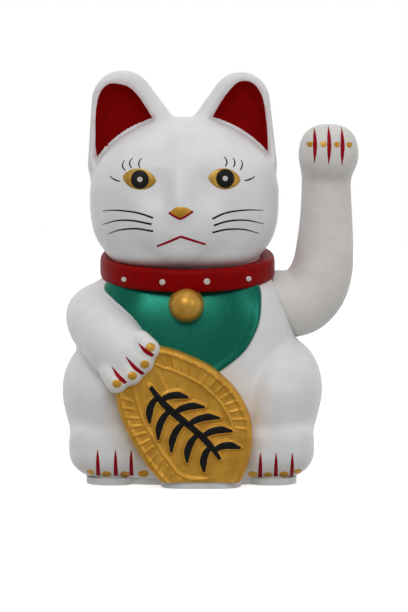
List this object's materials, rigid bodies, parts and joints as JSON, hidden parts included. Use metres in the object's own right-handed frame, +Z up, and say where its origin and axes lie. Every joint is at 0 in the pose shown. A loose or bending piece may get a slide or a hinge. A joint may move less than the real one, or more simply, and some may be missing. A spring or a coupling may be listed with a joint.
{
  "type": "beckoning cat figurine",
  "caption": "Seated hollow moulded cat holding an oval coin, one paw raised on a shaft that a magnet pendulum over a coil rocks to and fro.",
  "frame": {"origin": "on the surface that the figurine stands on, under the middle of its body and below the arm's shaft line", "axes": "+Z up, the cat faces -Y, and its raised left paw is on the +X side"},
  "size_m": [0.1258, 0.0944, 0.1739],
  "materials": {
    "white_plastic": "satin white paint over moulded plastic",
    "arm_plastic": "satin white plastic",
    "base_plastic": "fine matt texture",
    "nylon": "natural, as moulded",
    "green_board": "lacquered board",
    "black_plastic": "moulded black",
    "screw_steel": "zinc plated",
    "shaft_steel": "drawn steel",
    "weight_steel": "sheared block",
    "magnet_plating": "nickel plated",
    "contact_steel": "nickel plated spring steel",
    "copper_wire": "enamelled copper wire",
    "cell_jacket": "printed sleeve without marks",
    "red_wire": "insulated wire",
    "black_wire": "insulated wire",
    "resistor_body": "lacquered"
  },
  "bodies": {
    "figure": {"front_shell": "white_plastic", "rear_shell": "white_plastic", "base_plate": "base_plastic", "base_screws": "screw_steel", "battery_cell": "cell_jacket", "positive_contact": "contact_steel", "negative_spring": "contact_steel", "circuit_board": "green_board", "board_screws": "screw_steel", "coil_bobbin": "nylon", "coil_winding": "copper_wire", "transistor": "black_plastic", "capacitor": "cell_jacket", "resistors": "resistor_body", "positive_lead": "red_wire", "negative_lead": "black_wire", "switch_body": "black_plastic", "pivot_bracket": "nylon", "bracket_screws": "screw_steel", "left_bush": "nylon", "right_bush": "nylon"},
    "arm": {"raised_arm": "arm_plastic", "arm_hub": "nylon", "pivot_shaft": "shaft_steel", "shaft_collar": "screw_steel", "pendulum_lever": "nylon", "pendulum_weight": "weight_steel", "pendulum_magnet": "magnet_plating"},
    "battery_door": {"battery_door": "base_plastic"},
    "switch": {"switch_knob": "black_plastic"}
  },
  "joints": [
    {"name": "arm_swing", "type": "hinge", "parent": "figure", "child": "arm", "pos_m": [0.0343, 0, 0.0735], "axis": [1, 0, 0], "range_deg": [-22, 22]},
    {"name": "battery_door_slide", "type": "slide", "parent": "figure", "child": "battery_door", "axis": [0, 1, 0], "range_m": [0, 0.025]},
    {"name": "switch_slide", "type": "slide", "parent": "figure", "child": "switch", "axis": [1, 0, 0], "range_m": [0, 0.0022]}
  ]
}
